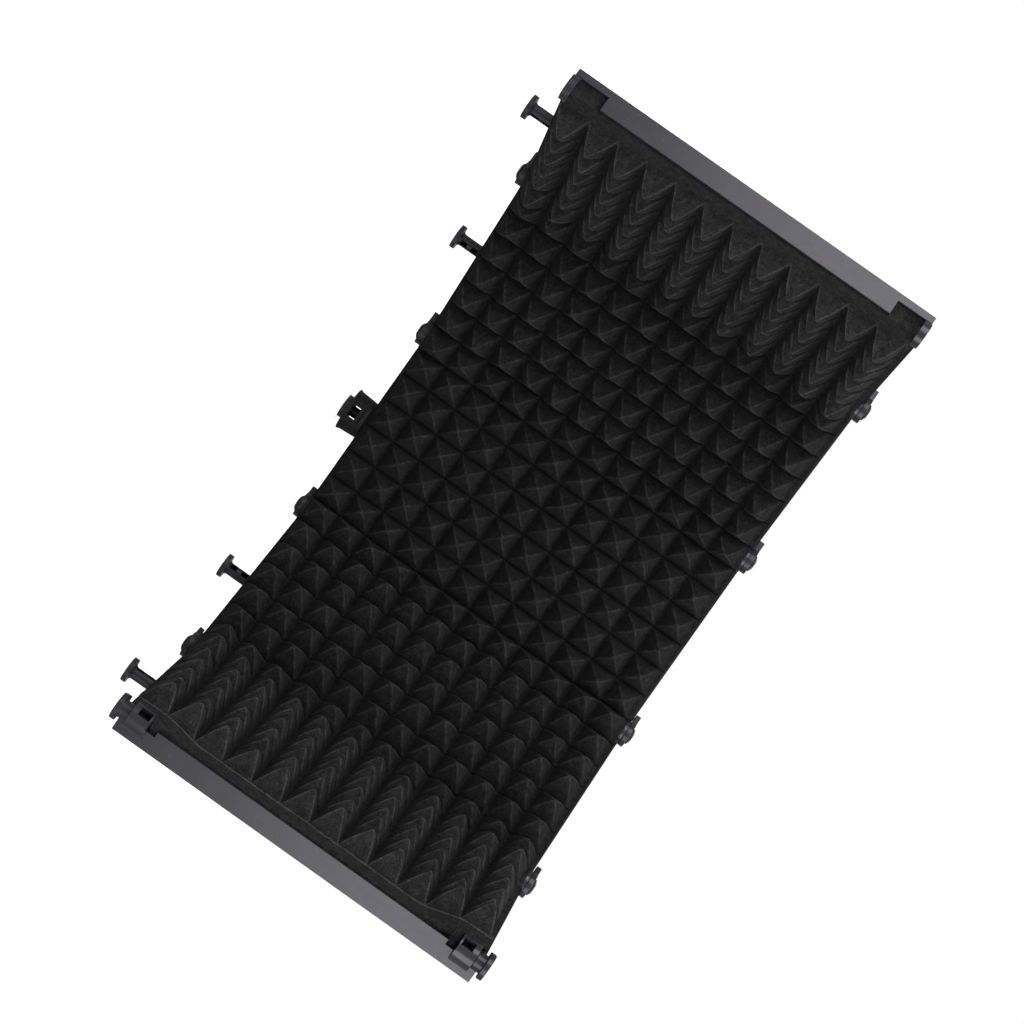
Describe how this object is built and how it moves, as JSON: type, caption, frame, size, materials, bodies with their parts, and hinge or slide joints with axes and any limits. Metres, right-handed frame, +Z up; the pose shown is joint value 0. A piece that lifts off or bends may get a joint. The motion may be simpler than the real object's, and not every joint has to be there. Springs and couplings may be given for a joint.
{
  "type": "microphone isolation shield",
  "caption": "Folding desk-top acoustic shield of hinged upright panels lined with pyramid foam, with thumb-knob hinges, disc feet and a bracket for a microphone stand.",
  "frame": {"origin": "middle of the bounding box at desk level, under the feet", "axes": "+Z up, +X along the row of panels from the free ears to the free barrels, -Y towards the open side and the microphone"},
  "size_m": [0.5944, 0.3116, 0.3513],
  "materials": {
    "frame_plastic": "satin, black",
    "grille_metal": "satin black paint",
    "foam": "open-cell foam, black",
    "hinge_plastic": "satin, grey",
    "knob_plastic": "satin, grey",
    "foot_plastic": "satin, dark grey",
    "bolt_steel": "blackened steel"
  },
  "bodies": {
    "center": {"center_frame": "frame_plastic", "center_grille": "grille_metal", "center_foam": "foam", "center_lower_barrel": "hinge_plastic", "center_upper_barrel": "hinge_plastic", "center_lower_ear": "hinge_plastic", "center_upper_ear": "hinge_plastic", "stand_bracket": "frame_plastic"},
    "inner_right": {"inner_right_frame": "frame_plastic", "inner_right_grille": "grille_metal", "inner_right_foam": "foam", "inner_right_lower_barrel": "hinge_plastic", "inner_right_upper_barrel": "hinge_plastic", "inner_right_lower_ear": "hinge_plastic", "inner_right_upper_ear": "hinge_plastic", "inner_right_foot": "foot_plastic"},
    "outer_right": {"outer_right_frame": "frame_plastic", "outer_right_grille": "grille_metal", "outer_right_foam": "foam", "outer_right_lower_barrel": "hinge_plastic", "outer_right_upper_barrel": "hinge_plastic", "outer_right_lower_ear": "hinge_plastic", "outer_right_upper_ear": "hinge_plastic", "outer_right_foot": "foot_plastic"},
    "inner_left": {"inner_left_frame": "frame_plastic", "inner_left_grille": "grille_metal", "inner_left_foam": "foam", "inner_left_lower_barrel": "hinge_plastic", "inner_left_upper_barrel": "hinge_plastic", "inner_left_lower_ear": "hinge_plastic", "inner_left_upper_ear": "hinge_plastic", "inner_left_foot": "foot_plastic"},
    "outer_left": {"outer_left_frame": "frame_plastic", "outer_left_grille": "grille_metal", "outer_left_foam": "foam", "outer_left_lower_barrel": "hinge_plastic", "outer_left_upper_barrel": "hinge_plastic", "outer_left_lower_ear": "hinge_plastic", "outer_left_upper_ear": "hinge_plastic", "outer_left_foot": "foot_plastic"},
    "center_lower_knob": {"center_lower_knob": "knob_plastic"},
    "center_upper_knob": {"center_upper_knob": "knob_plastic"},
    "inner_right_lower_knob": {"inner_right_lower_knob": "knob_plastic"},
    "inner_right_upper_knob": {"inner_right_upper_knob": "knob_plastic"},
    "outer_right_lower_knob": {"outer_right_lower_knob": "knob_plastic"},
    "outer_right_upper_knob": {"outer_right_upper_knob": "knob_plastic"},
    "inner_left_lower_knob": {"inner_left_lower_knob": "knob_plastic"},
    "inner_left_upper_knob": {"inner_left_upper_knob": "knob_plastic"},
    "outer_left_lower_knob": {"outer_left_lower_knob": "knob_plastic"},
    "outer_left_upper_knob": {"outer_left_upper_knob": "knob_plastic"},
    "stand_bolt": {"stand_bolt": "bolt_steel"}
  },
  "joints": [
    {"name": "inner_right_fold", "type": "hinge", "parent": "center", "child": "inner_right", "pos_m": [0.09407, 0.12781, 0.1835], "axis": [0, 0, -1], "range_deg": [-38, 22]},
    {"name": "outer_right_fold", "type": "hinge", "parent": "inner_right", "child": "outer_right", "pos_m": [0.23039, 0.0213, 0.1835], "axis": [0, 0, -1], "range_deg": [-35.5, 24.5]},
    {"name": "inner_left_fold", "type": "hinge", "parent": "center", "child": "inner_left", "pos_m": [-0.07893, 0.12781, 0.1835], "axis": [0, 0, 1], "range_deg": [-32.5, 27.5]},
    {"name": "outer_left_fold", "type": "hinge", "parent": "inner_left", "child": "outer_left", "pos_m": [-0.22484, 0.03485, 0.1835], "axis": [0, 0, 1], "range_deg": [-39, 21]},
    {"name": "center_lower_knob_turn", "type": "hinge", "parent": "center", "child": "center_lower_knob", "pos_m": [0.09407, 0.12781, 0.0235], "axis": [0, 0, -1], "continuous": true},
    {"name": "center_upper_knob_turn", "type": "hinge", "parent": "center", "child": "center_upper_knob", "pos_m": [0.09407, 0.12781, 0.3435], "axis": [0, 0, 1], "continuous": true},
    {"name": "inner_right_lower_knob_turn", "type": "hinge", "parent": "inner_right", "child": "inner_right_lower_knob", "pos_m": [0.23039, 0.0213, 0.0235], "axis": [0, 0, -1], "continuous": true},
    {"name": "inner_right_upper_knob_turn", "type": "hinge", "parent": "inner_right", "child": "inner_right_upper_knob", "pos_m": [0.23039, 0.0213, 0.3435], "axis": [0, 0, 1], "continuous": true},
    {"name": "outer_right_lower_knob_turn", "type": "hinge", "parent": "outer_right", "child": "outer_right_lower_knob", "pos_m": [0.27953, -0.14458, 0.0235], "axis": [0, 0, -1], "continuous": true},
    {"name": "outer_right_upper_knob_turn", "type": "hinge", "parent": "outer_right", "child": "outer_right_upper_knob", "pos_m": [0.27953, -0.14458, 0.3435], "axis": [0, 0, 1], "continuous": true},
    {"name": "inner_left_lower_knob_turn", "type": "hinge", "parent": "inner_left", "child": "inner_left_lower_knob", "pos_m": [-0.07893, 0.12781, 0.0235], "axis": [0, 0, -1], "continuous": true},
    {"name": "inner_left_upper_knob_turn", "type": "hinge", "parent": "inner_left", "child": "inner_left_upper_knob", "pos_m": [-0.07893, 0.12781, 0.3435], "axis": [0, 0, 1], "continuous": true},
    {"name": "outer_left_lower_knob_turn", "type": "hinge", "parent": "outer_left", "child": "outer_left_lower_knob", "pos_m": [-0.22484, 0.03485, 0.0235], "axis": [0, 0, -1], "continuous": true},
    {"name": "outer_left_upper_knob_turn", "type": "hinge", "parent": "outer_left", "child": "outer_left_upper_knob", "pos_m": [-0.22484, 0.03485, 0.3435], "axis": [0, 0, 1], "continuous": true},
    {"name": "stand_bolt_turn", "type": "hinge", "parent": "center", "child": "stand_bolt", "pos_m": [0.00757, 0.13706, 0.0135], "axis": [0, 0, -1], "continuous": true}
  ]
}
